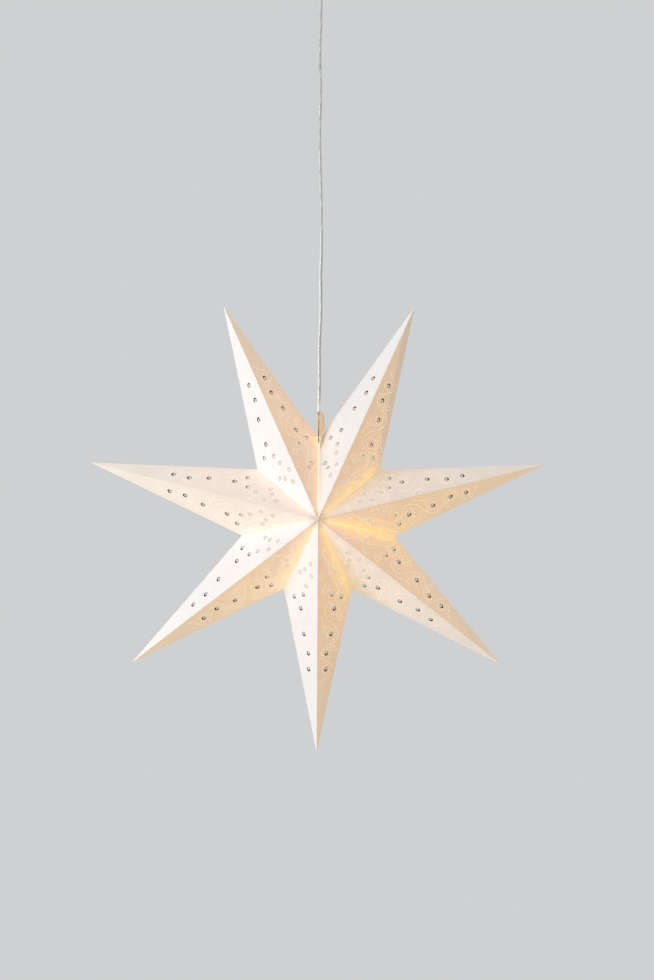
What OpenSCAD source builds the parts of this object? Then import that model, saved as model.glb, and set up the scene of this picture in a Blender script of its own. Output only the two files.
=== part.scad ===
// Paper star lantern that hangs from the ceiling on a clear cord, in millimetres.
// The ceiling is the plane z = 0, the front of the star faces -Y and +X is to the right.

/* [Star] */
// Number of points
point_count = 7; // [5:2:11]
// Distance from the star's centre to the tip of a point
star_r = 308; // [250:1:340]
// Distance from the star's centre to a notch between two points
notch_r = 103; // [90:1:120]
// Depth of the star from the front apex to the back apex
star_depth = 150; // [130:1:170]
// Thickness of the card
card_t = 0.4; // [0.3:0.05:0.6]
// Width of the open seam in the top notch
seam_w = 1.2; // [0.6:0.1:2]
// Width of the folded glue flaps inside the notches
flap_w = 6; // [4:0.5:8]
// Height of the star's centre below the ceiling
star_drop = 820; // [780:1:1200]

/* [Eye cuts] */
// Outer diameter of a cut
eye_d = 6.4; // [5:0.1:6.8]
// Width of the ring-shaped slot
eye_slot = 1.5; // [0.8:0.1:1.8]
// Width of the bridge that holds the middle of a cut
eye_bridge = 1; // [0.6:0.1:1.6]

/* [Closing tabs] */
// Height of a tab above its crease
tab_h = 32; // [26:1:40]
// Width of a tab
tab_w = 26; // [22:1:32]
// Thickness of a tab, which is two layers of card
tab_t = 0.8; // [0.6:0.1:1.2]
// Gap between the two tabs
tab_gap = 4.8; // [4.6:0.1:6]
// Diameter of a hook-and-loop dot
dot_d = 8; // [6:0.5:8.5]
// Height of the dots above the crease
dot_h = 14; // [10:1:18]

/* [Cord] */
// Outer diameter of the cord's sheath
cord_d = 4; // [3:0.1:4.2]
// Diameter of one insulated core
core_d = 1.7; // [1.4:0.1:1.8]

/* [Lampholder] */
// Outer diameter of the lampholder
holder_d = 28; // [27:0.5:30]
// Height of the cap over the skirt
cap_h = 20; // [19:0.5:24]
// Height of the neck on top of the cap
neck_h = 8; // [6:0.5:10]
// Outer diameter of the neck
neck_d = 10; // [9:0.5:12]
// Wall of the cap and the skirt
holder_wall = 1.6; // [1.2:0.1:1.8]
// Length of the skirt below the cap
skirt_h = 34; // [30:1:40]
// Length of the threaded brass sleeve
sleeve_h = 16; // [12:0.5:18]
// Outer diameter of the bulb's thread
thread_d = 13.9; // [13.6:0.1:14]

/* [Bulb] */
// Largest diameter of the bulb
bulb_d = 35; // [30:1:38]
// Length of the bulb's glass
glass_h = 78; // [70:1:85]
// Wall of the glass
glass_wall = 0.8; // [0.6:0.1:1.2]
// Length of the bulb's screw cap
screw_cap_h = 15; // [13:0.5:16]
// Height of one turn of the bulb's thread
thread_pitch = 2.8; // [2.5:0.1:3]

/* [Ceiling fitting] */
// Outer diameter of the ceiling plate
plate_d = 52; // [48:1:60]
// Thickness of the ceiling plate's steel
plate_t = 1.5; // [1:0.1:2]
// Distance between the two screw holes
screw_spacing = 40; // [38:1:42]
// Diameter of a screw hole
screw_hole_d = 4.4; // [3.6:0.1:5]
// Diameter of the hook's wire
hook_wire_d = 4; // [3:0.1:4.5]
// Radius of the hook, to the middle of its wire
hook_r = 9; // [8.6:0.1:10]
// Diameter of the hanging ring's wire
ring_wire_d = 2.5; // [2:0.1:2.8]
// Radius of the hanging ring, to the middle of its wire
ring_r = 8; // [7.6:0.1:9]
// Outer diameter of the ceiling cup
cup_d = 100; // [90:1:110]
// Height of the ceiling cup, without its collar
cup_h = 76; // [74:1:84]
// Wall of the ceiling cup
cup_wall = 1.6; // [1.2:0.1:2.5]
// Gap between the cup's rim and the ceiling
rim_gap = 6; // [5:0.5:8]
// Height of the collar under the cup
collar_h = 12; // [10:1:14]

/* [Hidden] */
$fn = 48;

// Clearances
fit_gap = 0.05;
seat_gap = 0.3;
loose_gap = 0.3;
cut_over = 1;
glue_t = 0.02;

// Angle from the middle of a point to the notch beside it
half_angle = 180 / point_count;
half_depth = star_depth / 2;

// Corners of one facet, in the frame of an upright point: front apex, tip and notch
apex = [0, -half_depth, 0];
tip = [0, 0, star_r];
notch = [notch_r * sin(half_angle), 0, notch_r * cos(half_angle)];

// Axes of the facet: along the ridge, away from the ridge, and into the star
ridge_axis = (tip - apex) / norm(tip - apex);
facet_normal = cross(tip - apex, notch - apex) / norm(cross(tip - apex, notch - apex));
across_axis = cross(facet_normal, ridge_axis);
ridge_length = norm(tip - apex);
notch_along = (notch - apex) * ridge_axis;
notch_across = (notch - apex) * across_axis;

// Slope of a facet against the flat laid across its valley
fold_sin = facet_normal[2] * sin(half_angle) - facet_normal[0] * cos(half_angle);
fold_cos = sqrt(1 - fold_sin * fold_sin);

// Places of the eye cuts: share of the way to the tip, share of the width at that height
EYES = [[0.188, 0.35], [0.213, 0.54], [0.224, 0.7], [0.24, 0.23], [0.283, 0.36], [0.319, 0.43],
    [0.33, 0.72], [0.38, 0.55], [0.489, 0.54], [0.571, 0.43], [0.64, 0.49]];

// Crease of the tabs, just above the card's edges beside the top notch
edge_slope = (star_r * cos(half_angle) - notch_r) / (star_r * sin(half_angle));
crease_z = notch_r + (tab_gap / 2 + tab_t) * edge_slope + 1;
crease_gap = 0.4;
// Hole in the top seam that the cord passes through
cord_hole_r = cord_d / 2 + 1.5;

// The lampholder's cap carries the seam of the star on the edge of its top
cap_chamfer = 1;
seat_r = holder_d / 2 - cap_chamfer;
card_rise = card_t / abs(facet_normal[0] * sin(half_angle) + facet_normal[2] * cos(half_angle));
cap_top = notch_r * (1 - seat_r / half_depth) - card_rise - seat_gap;
bore_r = cord_d / 2 + loose_gap;
cap_top_t = 2;
spigot_h = 8;
spigot_r = holder_d / 2 - holder_wall - 0.2;
block_r = spigot_r - holder_wall - 0.1;
block_top = cap_top - cap_h + 8;
block_h = 14;
block_bottom = block_top - block_h;
sleeve_r = thread_d / 2 + 0.4;
sleeve_wall = 0.5;
contact_h = 2.6;
sheath_end = cap_top - cap_top_t - 0.5;
terminal_x = 5.6;
terminal_size = [4.4, 5, 4];
terminal_screw_z = block_top + 2.4;
skirt_top = cap_top - cap_h;
lip_h = 1.5;

// The bulb hangs under the centre contact
tip_top = block_bottom - contact_h - 0.3;
tip_contact_h = 1;
insulator_h = 2.6;
screw_cap_top = tip_top - tip_contact_h - insulator_h;
glass_top = screw_cap_top - screw_cap_h + 2;
neck_r = thread_d / 2 - 1.2;
glass_steps = 14;
end_r = 3;
neck_length = 3;
filament_r = 5.5;
filament_z = glass_top - glass_h * 0.57;
wire_r = 0.35;
stem_end = glass_top - glass_h * 0.42;

// Levels of the ceiling fitting
web_top = -6.5;
web_r = plate_d / 2 - 13;
nut_w = 7;
nut_h = 3;
hook_z = -26;
hook_bar = hook_z - hook_r;
ring_top = hook_bar + hook_wire_d / 2 + ring_wire_d / 2 + loose_gap;
ring_z = ring_top - ring_r;
ring_bar = ring_z - ring_r;
eye_hole_r = 3.5;
eye_r = 6.5;
eye_t = 2.6;
eye_z = ring_bar + ring_wire_d / 2 + loose_gap - eye_hole_r;
clamp_w = 18;
clamp_d = 12;
clamp_top = eye_z - 7.6;
clamp_h = 18;
clamp_bottom = clamp_top - clamp_h;
bar_top = clamp_top - 7;
clamp_screw_r = 1.5;
clamp_screw_x = 5.6;
clamp_screw_z = (bar_top + clamp_bottom) / 2;
cord_top = bar_top + 1;

// The terminal block hangs on the ends of the cores, behind the hanger
block_size = [18, 9, 14];
block_y = 13;
pole_x = 4.5;
pole_z = cord_top;
pole_r = 1.8;
sleeve_bore_r = core_d / 2 + 0.2;
pole_screw_r = 1.2;
pole_screw_y = [2.5, 6.5];

// Outline of the cup
cup_top = -rim_gap;
cup_floor = cup_top - cup_h;
cup_round = 34;
collar_r = 6;
grip_z = cup_floor - collar_h / 2 - 1;
grip_r = 1.6;
grip_l = 7;

// The cord's route: places along a line that hangs straight, with the slight waves of the wire
CORD_WAVE = [[0, 0], [0.14, 0], [0.24, 0.8], [0.34, -0.4], [0.46, 0.9], [0.58, -0.5], [0.7, 0.6],
    [0.78, 0], [1, 0]];
cord_rings = 70;
cord_sides = 8;
cord_bottom = sheath_end - star_drop;

// The short ends of the cores, from the sheath to what they feed
SUPPLY_ROUTE = [[1.1, 0, 0.1], [1.1, 0, 0.4], [1.1, 0, 1.5], [1.9, 3, 3.3], [3.4, 7.5, 2.2],
    [4.5, 11.5, 0], [4.5, 14, 0], [4.5, 16, 0]];
HOLDER_ROUTE = [[1.1, 0, -0.1], [1.1, 0, -0.4], [1.1, 0, -0.9], [2.9, 0, -2.2], [5.1, 0, -2.8],
    [5.6, 0, -3.9], [5.6, 0, -4.6], [5.6, 0, -5.4]];

function unit(v) = v / norm(v);
function last(list) = list[len(list) - 1];

// Point between b and c on a smooth curve through a, b, c and d
function spline_point(a, b, c, d, t) =
    0.5 * (2 * b + (c - a) * t + (2 * a - 5 * b + 4 * c - d) * t * t
        + (3 * b - a - 3 * c + d) * t * t * t);
function at(list, i) = list[max(0, min(len(list) - 1, i))];
function spline(route, steps) = concat([for (i = [0:len(route) - 2], k = [0:steps - 1])
    spline_point(at(route, i - 1), route[i], route[i + 1], at(route, i + 2), k / steps)],
    [last(route)]);
function tangent(path, i) = unit(at(path, i + 1) - at(path, i - 1));

// One ring of corners of a tube, square to its path
function ring(path, i, r, sides) = let (t = tangent(path, i), s = unit(cross([1, 0, 0], t)),
    u = cross(t, s)) [for (k = [0:sides - 1])
    path[i] + r * (s * cos(360 * k / sides) + u * sin(360 * k / sides))];

// Solid tube along a path, with flat ends
module tube(path, r, sides) {
    rings = len(path);
    corners = [for (i = [0:rings - 1]) each ring(path, i, r, sides)];
    skin = [for (i = [0:rings - 2], k = [0:sides - 1]) each [
        [i * sides + k, (i + 1) * sides + k, (i + 1) * sides + (k + 1) % sides],
        [i * sides + k, (i + 1) * sides + (k + 1) % sides, i * sides + (k + 1) % sides]]];
    first_end = [for (k = [0:sides - 1]) k];
    last_end = [for (k = [sides - 1:-1:0]) (rings - 1) * sides + k];
    polyhedron(corners, concat(skin, [first_end, last_end]), convexity = 4);
}

// Turns from a point's upright frame to its place in the star, clockwise from the top
module at_angle(a) {
    translate([0, 0, -star_drop]) rotate([0, a, 0]) children();
}

// Lays a flat drawing on the outer face of a facet: x along the ridge, z into the star
module on_facet() {
    multmatrix([
        [ridge_axis[0], across_axis[0], facet_normal[0], apex[0]],
        [ridge_axis[1], across_axis[1], facet_normal[1], apex[1]],
        [ridge_axis[2], across_axis[2], facet_normal[2], apex[2]]]) children();
}

// Width of a point, from its middle to its edge, at a height along its axis
function half_width(z) = z < notch[2] ? z * tan(half_angle)
    : notch[0] * (star_r - z) / (star_r - notch[2]);

// Place on the facet of a spot that is seen at height z and x from the ridge
function on_card(z, x) = let (b = x / across_axis[0])
    [(z - b * across_axis[2]) / ridge_axis[2], b];

module eye_cut() {
    difference() {
        circle(d = eye_d);
        circle(d = eye_d - 2 * eye_slot);
        translate([0, -eye_bridge / 2]) square([eye_d, eye_bridge]);
    }
}

module eye_cuts() {
    for (e = EYES) {
        z = e[0] * star_r;
        translate(on_card(z, e[1] * half_width(z))) rotate(180) eye_cut();
    }
}

// Facet with some card over at every edge, which the mitres then trim
module facet_card() {
    over = 4 * card_t;
    polygon([[-over, -over], [ridge_length + over, -over], [ridge_length + over, over],
        [notch_along, notch_across + over], [notch_along - over, notch_across + over], [-over, over]]);
}

// Space of one facet: right of the ridge, in front of the middle and inside the notch
module facet_space() {
    big = 2 * star_r;
    intersection() {
        translate([0, -big, -big]) cube([big, big, 2 * big]);
        inside_notch();
    }
}

// Everything on a point's side of the plane through the notch beside it
module inside_notch() {
    big = 2 * star_r;
    rotate([0, half_angle, 0]) translate([-big, -big, -big]) cube([big, 2 * big, 2 * big]);
}

module facet() {
    intersection() {
        on_facet() linear_extrude(card_t) difference() {
            facet_card();
            eye_cuts();
        }
        facet_space();
    }
}

// One folded card: four facets round a hollow, open towards the star's centre
module star_point() {
    for (side = [0, 1], back = [0, 1])
        mirror([side, 0, 0]) mirror([0, back, 0]) facet();
}

// A point beside the top seam, with its edge trimmed, the cord's hole and the root of its tab
module seam_point(side) {
    difference() {
        at_angle(side * half_angle) star_point();
        translate([-seam_w / 2, -star_depth, -star_drop]) cube([seam_w, 2 * star_depth, star_r]);
        translate([0, 0, -star_drop]) cylinder(r = cord_hole_r, h = star_r);
    }
    tab_root(side);
}

// Upright card between the seam's slopes and the crease of the tab
module tab_root(side) {
    slope_drop = notch_r * (tab_w / 2) / half_depth;
    x = side > 0 ? tab_gap / 2 : -tab_gap / 2 - tab_t;
    difference() {
        translate([x, -tab_w / 2, notch_r - slope_drop - star_drop])
            cube([tab_t, tab_w, crease_z - notch_r + slope_drop]);
        at_angle(side * half_angle) mirror([side > 0 ? 1 : 0, 0, 0]) intersection() {
            under_facet();
            mirror([0, 1, 0]) under_facet();
        }
    }
}

// Everything on the inner side of a facet's middle plane
module under_facet() {
    big = 2 * star_r;
    on_facet() translate([-big, -big, card_t / 2]) cube([2 * big, 2 * big, big]);
}

// Cross-section of a flap that is bent along its valley, glued to the inner faces of both cards
module flap_section() {
    function bend(t) = [0, t / fold_cos];
    function wing(side, t) = [side * (flap_w * fold_cos + t * fold_sin), t * fold_cos - flap_w * fold_sin];
    outer = card_t + glue_t;
    inner = outer + card_t;
    polygon([wing(-1, outer), bend(outer), wing(1, outer), wing(1, inner), bend(inner), wing(-1, inner)]);
}

// Flap across one valley, drawn with the notch straight up, short of the apex and the notch
module glue_flap() {
    valley = [0, half_depth, notch_r];
    length = norm(valley);
    edge = valley / length;
    multmatrix([
        [1, 0, 0, 0],
        [0, edge[2], edge[1], -half_depth],
        [0, -edge[1], edge[2], 0]])
        translate([0, 0, 4 * flap_w]) linear_extrude(length - 5 * flap_w) flap_section();
}

module glue_flaps() {
    color([0.93, 0.9, 0.85]) for (i = [1:point_count - 1], back = [0, 1])
        mirror([0, back, 0]) at_angle(i * 360 / point_count) glue_flap();
}

module point_top_right() { color([0.97, 0.94, 0.89]) seam_point(1); }
module point_top_left() { color([0.97, 0.94, 0.89]) seam_point(-1); }
module plain_point(i) { color([0.97, 0.94, 0.89]) at_angle((2 * i + 1) * half_angle) star_point(); }

// Tab on one side of the cord, with a round top
module closing_tab(side) {
    x = side > 0 ? tab_gap / 2 : -tab_gap / 2 - tab_t;
    color([0.95, 0.9, 0.84]) translate([x, 0, crease_z + crease_gap - star_drop])
        rotate([90, 0, 90]) linear_extrude(tab_t) {
            translate([-tab_w / 2, 0]) square([tab_w, tab_h - tab_w / 2]);
            translate([0, tab_h - tab_w / 2]) circle(d = tab_w);
        }
}

module left_closing_tab() { closing_tab(-1); }
module right_closing_tab() { closing_tab(1); }

// Pair of dots on the inner side of one tab, one on each side of the cord
module dots(side) {
    dot_t = tab_gap / 2 - fit_gap;
    dot_y = (cord_d / 2 + tab_w / 2) / 2 + 0.2;
    for (y = [-dot_y, dot_y])
        translate([side * tab_gap / 2, y, crease_z + dot_h - star_drop])
            rotate([0, -side * 90, 0]) cylinder(d = dot_d, h = dot_t);
}

module hook_dots() { color([0.85, 0.85, 0.83]) dots(-1); }
module loop_dots() { color([0.92, 0.92, 0.9]) dots(1); }

// Outline of a solid of revolution is drawn with its height measured from the star's centre
module turned() {
    translate([0, 0, -star_drop]) rotate_extrude() children();
}

module holder_cap() {
    r = holder_d / 2;
    color([0.94, 0.94, 0.92]) difference() {
        turned() polygon([[bore_r, cap_top + neck_h], [neck_d / 2, cap_top + neck_h],
            [neck_d / 2, cap_top], [seat_r, cap_top], [r, cap_top - cap_chamfer],
            [r, cap_top - cap_h], [r - holder_wall, cap_top - cap_h],
            [r - holder_wall, cap_top - cap_top_t], [bore_r, cap_top - cap_top_t]]);
        translate([0, 0, cap_top + neck_h / 2 - star_drop]) rotate([0, 90, 0])
            cylinder(r = grip_r + fit_gap, h = neck_d);
    }
}

// Slotted screw that bears on the cord from one side
module grip_screw(z, from) {
    translate([from, 0, z]) rotate([0, 90, 0]) difference() {
        cylinder(r = grip_r, h = grip_l);
        translate([-grip_r, -0.3, grip_l - 1]) cube([2 * grip_r, 0.6, 1 + cut_over]);
    }
}

module cap_grip_screw() {
    color([0.75, 0.75, 0.72]) grip_screw(cap_top + neck_h / 2 - star_drop, cord_d / 2 + fit_gap);
}

// White core block that carries the contacts, with a bore for the rivet of the contact
module holder_core_block() {
    color([0.9, 0.88, 0.84]) translate([0, 0, block_bottom - star_drop]) difference() {
        cylinder(r = block_r, h = block_h);
        translate([0, 0, -cut_over]) cylinder(r = 1.2 + fit_gap, h = block_h + 2 * cut_over);
    }
}

module holder_terminals() {
    color([0.8, 0.66, 0.36]) for (s = [-1, 1])
        translate([s * terminal_x, 0, block_top - star_drop + terminal_size[2] / 2]) difference() {
            cube(terminal_size, center = true);
            translate([0, 0, terminal_screw_z - block_top - terminal_size[2] / 2]) rotate([90, 0, 0])
                cylinder(r = 1.2 + fit_gap, h = terminal_size[1] + 2 * cut_over, center = true);
        }
}

module holder_terminal_screws() {
    color([0.72, 0.72, 0.74]) for (s = [-1, 1])
        translate([s * terminal_x, -terminal_size[1] / 2, terminal_screw_z - star_drop])
            rotate([90, 0, 0]) {
                translate([0, 0, -4]) cylinder(r = 1.2, h = 4);
                difference() {
                    cylinder(r = 1.9, h = 1.4);
                    translate([-2, -0.3, 0.7]) cube([4, 0.6, 1]);
                }
            }
}

module holder_cores() {
    color([0.86, 0.8, 0.74]) for (s = [-1, 1])
        translate([0, 0, sheath_end - star_drop])
            tube([for (p = spline(HOLDER_ROUTE, 3)) [s * p[0], p[1], p[2]]], core_d / 2, 8);
}

// Threaded brass sleeve under the core block, drawn as rings at the pitch of the thread
module socket_sleeve() {
    turns = floor(sleeve_h / thread_pitch);
    bulge = 0.35;
    color([0.82, 0.68, 0.38]) turned() {
        translate([sleeve_r, block_bottom - sleeve_h]) square([sleeve_wall, sleeve_h]);
        for (i = [0:turns - 1])
            translate([sleeve_r + sleeve_wall, block_bottom - (i + 0.5) * thread_pitch])
                polygon([[-0.1, -0.8], [bulge, 0], [-0.1, 0.8]]);
    }
}

module centre_contact() {
    color([0.82, 0.68, 0.38]) {
        translate([0, 0, block_bottom - star_drop - contact_h]) cylinder(r1 = 1.6, r2 = 2.6, h = contact_h);
        translate([0, 0, block_bottom - star_drop]) cylinder(r = 1.2, h = block_h);
    }
}

// Skirt with a spigot that screws into the cap and a ledge that carries the core block
module holder_skirt() {
    r = holder_d / 2;
    color([0.94, 0.94, 0.92]) turned() polygon([
        [spigot_r - holder_wall, skirt_top + spigot_h], [spigot_r, skirt_top + spigot_h],
        [spigot_r, skirt_top], [r, skirt_top], [r, skirt_top - skirt_h],
        [r - holder_wall, skirt_top - skirt_h], [r - holder_wall, block_bottom - lip_h - 3],
        [sleeve_r + 1.4, block_bottom - lip_h], [sleeve_r + 1.4, block_bottom],
        [spigot_r - holder_wall, block_bottom]]);
}

// Radius of the bulb at a share of the way from its neck to its end
function glass_r(s) = s < 0.5 ? neck_r + (bulb_d / 2 - neck_r) * sin(180 * s)
    : end_r + (bulb_d / 2 - end_r) * sin(180 * s);

module bulb_glass() {
    neck_bottom = glass_top - neck_length;
    swell = glass_h - neck_length;
    outer = [for (i = [0:glass_steps]) let (s = i / glass_steps) [glass_r(s), neck_bottom - s * swell]];
    inner = [for (i = [glass_steps:-1:0]) let (s = i / glass_steps)
        [glass_r(s) - glass_wall, neck_bottom - s * (swell - glass_wall)]];
    end = glass_top - glass_h;
    color([1, 0.95, 0.85, 0.5]) turned() polygon(concat([[neck_r, glass_top]], outer,
        [[0, end], [0, end + glass_wall]], inner, [[neck_r - glass_wall, glass_top]]));
}

// Brass screw cap of the bulb, open below where the glass is cemented in
module bulb_screw_cap() {
    turns = floor((screw_cap_h - 4) / thread_pitch);
    r = thread_d / 2;
    root = r - 0.6;
    thread = [for (i = [0:turns - 1]) let (z = screw_cap_top - 3 - (i + 0.5) * thread_pitch)
        each [[root, z + 0.9], [r, z], [root, z - 0.9]]];
    color([0.78, 0.74, 0.62]) turned() polygon(concat([[2.6, screw_cap_top], [root, screw_cap_top - 1.5]],
        thread, [[root, screw_cap_top - screw_cap_h], [root - 0.4, screw_cap_top - screw_cap_h],
        [root - 0.4, screw_cap_top - 1.8], [2.6, screw_cap_top - 0.5]]));
}

module bulb_insulator() {
    color([0.12, 0.12, 0.13]) turned() polygon([[1.6, screw_cap_top + insulator_h],
        [3.2, screw_cap_top + insulator_h], [5.2, screw_cap_top], [1.6, screw_cap_top]]);
}

module bulb_tip_contact() {
    color([0.7, 0.7, 0.68]) translate([0, 0, screw_cap_top - star_drop]) {
        cylinder(r = 1.6 - fit_gap, h = insulator_h);
        translate([0, 0, insulator_h]) cylinder(r1 = 2.4, r2 = 1.6, h = tip_contact_h);
    }
}

module bulb_stem() {
    color([0.9, 0.95, 0.95, 0.5]) turned() polygon([[0, glass_top - 1],
        [neck_r - glass_wall - fit_gap, glass_top - 1], [2.2, glass_top - 8], [1.6, stem_end],
        [0, stem_end]]);
}

// Two wires that lean from the sides of the filament to the end of the stem
module bulb_support_wires() {
    ring_side = filament_r + 0.5 + wire_r + fit_gap;
    head = 1.6 + wire_r + 2 * fit_gap;
    rise = stem_end + 3 - filament_z;
    lean = asin(ring_side / norm([head, rise])) - atan(head / rise);
    foot = ring_side / cos(lean);
    color([0.7, 0.7, 0.7]) for (s = [-1, 1])
        translate([s * foot, 0, filament_z - star_drop]) rotate([0, -s * lean, 0])
            cylinder(r = wire_r, h = rise / cos(lean));
}

module bulb_filament() {
    color([1, 0.8, 0.4]) translate([0, 0, filament_z - star_drop]) rotate([90, 0, 0])
        rotate_extrude() translate([filament_r, 0]) circle(r = 0.5);
}

module ceiling_plate() {
    r = plate_d / 2;
    color([0.8, 0.8, 0.82]) difference() {
        rotate_extrude() polygon([[web_r + plate_t, 0], [r, 0], [r, -plate_t],
            [web_r + 2 * plate_t, -plate_t], [web_r + 2 * plate_t, web_top - plate_t],
            [0, web_top - plate_t], [0, web_top], [web_r + plate_t, web_top]]);
        translate([0, 0, web_top - plate_t - cut_over])
            cylinder(r = hook_wire_d / 2 + fit_gap, h = plate_t + 2 * cut_over);
        for (s = [-1, 1]) translate([s * screw_spacing / 2, 0, -plate_t - cut_over])
            cylinder(d = screw_hole_d, h = plate_t + 2 * cut_over);
    }
}

// Open hook: a straight shank through the plate and most of a ring
module ceiling_hook() {
    color([0.82, 0.82, 0.84]) {
        translate([0, 0, hook_z + hook_r]) cylinder(d = hook_wire_d, h = -1.5 - hook_z - hook_r);
        translate([0, 0, hook_z]) rotate([90, 0, 0]) rotate([0, 0, 160]) rotate_extrude(angle = 290)
            translate([hook_r, 0]) circle(d = hook_wire_d);
        translate([0, 0, web_top - plate_t - 2]) cylinder(r = 4.5, h = 2);
    }
}

module hook_nut() {
    color([0.75, 0.76, 0.78]) translate([0, 0, web_top]) difference() {
        cylinder(d = nut_w / cos(30), h = nut_h, $fn = 6);
        translate([0, 0, -cut_over]) cylinder(r = hook_wire_d / 2 + fit_gap, h = nut_h + 2 * cut_over);
    }
}

module hanging_ring() {
    color([0.82, 0.82, 0.84]) translate([0, 0, ring_z]) rotate([0, 90, 0]) rotate_extrude()
        translate([ring_r, 0]) circle(d = ring_wire_d);
}

// Eye and front half of the cord clamp
module cord_hanger() {
    color([0.95, 0.95, 0.95]) difference() {
        union() {
            translate([0, eye_t / 2, eye_z]) rotate([90, 0, 0]) cylinder(r = eye_r, h = eye_t);
            translate([-5, -eye_t / 2, clamp_top - 1]) cube([10, eye_t, eye_z - clamp_top + 1]);
            translate([-clamp_w / 2, -clamp_d / 2, clamp_bottom])
                cube([clamp_w, clamp_d / 2 - fit_gap, clamp_h]);
        }
        translate([0, eye_t, eye_z]) rotate([90, 0, 0]) cylinder(r = eye_hole_r, h = 2 * eye_t);
        translate([0, 0, clamp_bottom - cut_over])
            cylinder(r = cord_d / 2 + fit_gap, h = clamp_h + cut_over - 1.5);
        clamp_screw_holes();
    }
}

module clamp_screw_holes() {
    for (s = [-1, 1]) translate([s * clamp_screw_x, clamp_d, clamp_screw_z]) rotate([90, 0, 0])
        cylinder(r = clamp_screw_r + fit_gap, h = 2 * clamp_d);
}

module clamp_bar() {
    color([0.93, 0.93, 0.93]) difference() {
        translate([-clamp_w / 2, fit_gap, clamp_bottom])
            cube([clamp_w, clamp_d / 2 - fit_gap, bar_top - clamp_bottom]);
        translate([0, 0, clamp_bottom - cut_over])
            cylinder(r = cord_d / 2 + fit_gap, h = clamp_h + 2 * cut_over);
        clamp_screw_holes();
    }
}

module clamp_screws() {
    color([0.72, 0.72, 0.74]) for (s = [-1, 1])
        translate([s * clamp_screw_x, -clamp_d / 2, clamp_screw_z]) rotate([90, 0, 0]) {
            translate([0, 0, -clamp_d]) cylinder(r = clamp_screw_r, h = clamp_d);
            difference() {
                cylinder(r = 2.6, h = 1.8);
                translate([-3, -0.3, 1]) cube([6, 0.6, 1]);
            }
        }
}

module supply_cores() {
    color([0.86, 0.8, 0.74]) for (s = [-1, 1])
        translate([0, 0, cord_top])
            tube([for (p = spline(SUPPLY_ROUTE, 3)) [s * p[0], p[1], p[2]]], core_d / 2, 8);
}

module terminal_block() {
    color([0.93, 0.93, 0.9]) difference() {
        translate([-block_size[0] / 2, block_y, pole_z - block_size[2] / 2]) cube(block_size);
        for (s = [-1, 1]) translate([s * pole_x, block_y - cut_over, pole_z]) {
            rotate([-90, 0, 0]) cylinder(r = pole_r + fit_gap, h = block_size[1] + 2 * cut_over);
            for (y = pole_screw_y) translate([0, y + cut_over, -block_size[2] / 2 - cut_over])
                cylinder(r = pole_screw_r + fit_gap, h = block_size[2] / 2 + cut_over);
        }
    }
}

module terminal_sleeves() {
    color([0.82, 0.68, 0.38]) for (s = [-1, 1]) translate([s * pole_x, block_y, pole_z])
        rotate([-90, 0, 0]) difference() {
            cylinder(r = pole_r, h = block_size[1]);
            translate([0, 0, -0.5]) cylinder(r = sleeve_bore_r, h = block_size[1]);
        }
}

module terminal_screws() {
    color([0.72, 0.72, 0.74]) for (s = [-1, 1], y = pole_screw_y)
        translate([s * pole_x, block_y + y, pole_z - block_size[2] / 2]) difference() {
            cylinder(r = pole_screw_r, h = block_size[2] / 2 - pole_r - fit_gap);
            translate([-2, -0.25, -cut_over]) cube([4, 0.5, 0.6 + cut_over]);
        }
}

// Bowl-shaped cup with a round bottom and a collar that clamps on the cord
module ceiling_cup() {
    color([0.96, 0.96, 0.95]) difference() {
        rotate_extrude() difference() {
            union() {
                cup_outline(0);
                translate([0, cup_floor - collar_h]) square([collar_r, collar_h + cup_wall]);
            }
            difference() {
                cup_outline(cup_wall);
                translate([0, cup_floor - collar_h]) square([cup_d, collar_h + cup_wall]);
            }
            translate([0, cup_floor - 2 * collar_h])
                square([cord_d / 2 + 2 * loose_gap, 3 * collar_h]);
        }
        translate([0, 0, grip_z]) rotate([0, 90, 0])
            cylinder(r = grip_r + fit_gap, h = collar_r + cut_over);
    }
}

// Half section of the cup, drawn in by the wall
module cup_outline(wall) {
    r = cup_d / 2 - wall;
    bend = cup_round - wall;
    floor_z = cup_floor + wall;
    translate([0, floor_z + bend]) square([r, cup_top - floor_z - bend + (wall > 0 ? cut_over : 0)]);
    translate([0, floor_z]) square([r - bend, bend]);
    intersection() {
        translate([r - bend, floor_z + bend]) circle(r = bend);
        translate([r - bend, floor_z]) square([bend, bend]);
    }
}

module cup_grip_screw() {
    color([0.75, 0.75, 0.72]) grip_screw(grip_z, cord_d / 2 + loose_gap);
}

module cord() {
    length = cord_top - cord_bottom;
    route = [for (p = CORD_WAVE) [p[1], 0, cord_top - p[0] * length]];
    color([0.85, 0.85, 0.83, 0.6]) tube(spline(route, round(cord_rings / (len(route) - 1))),
        cord_d / 2, cord_sides);
}

ceiling_plate();
ceiling_hook();
hook_nut();
hanging_ring();
cord_hanger();
clamp_bar();
clamp_screws();
supply_cores();
terminal_block();
terminal_sleeves();
terminal_screws();
ceiling_cup();
cup_grip_screw();
cord();
holder_cap();
cap_grip_screw();
holder_cores();
holder_core_block();
holder_terminals();
holder_terminal_screws();
socket_sleeve();
centre_contact();
holder_skirt();
bulb_glass();
bulb_screw_cap();
bulb_insulator();
bulb_tip_contact();
bulb_stem();
bulb_support_wires();
bulb_filament();
point_top_right();
plain_point(1);  // point_right
plain_point(2);  // point_bottom_right
plain_point(3);  // point_bottom
plain_point(4);  // point_bottom_left
plain_point(5);  // point_left
point_top_left();
glue_flaps();
left_closing_tab();
right_closing_tab();
hook_dots();
loop_dots();
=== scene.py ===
"""Dresses the paper star lantern: card, pin-pricks, tabs, cord, bulb, fittings and stage."""

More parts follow.
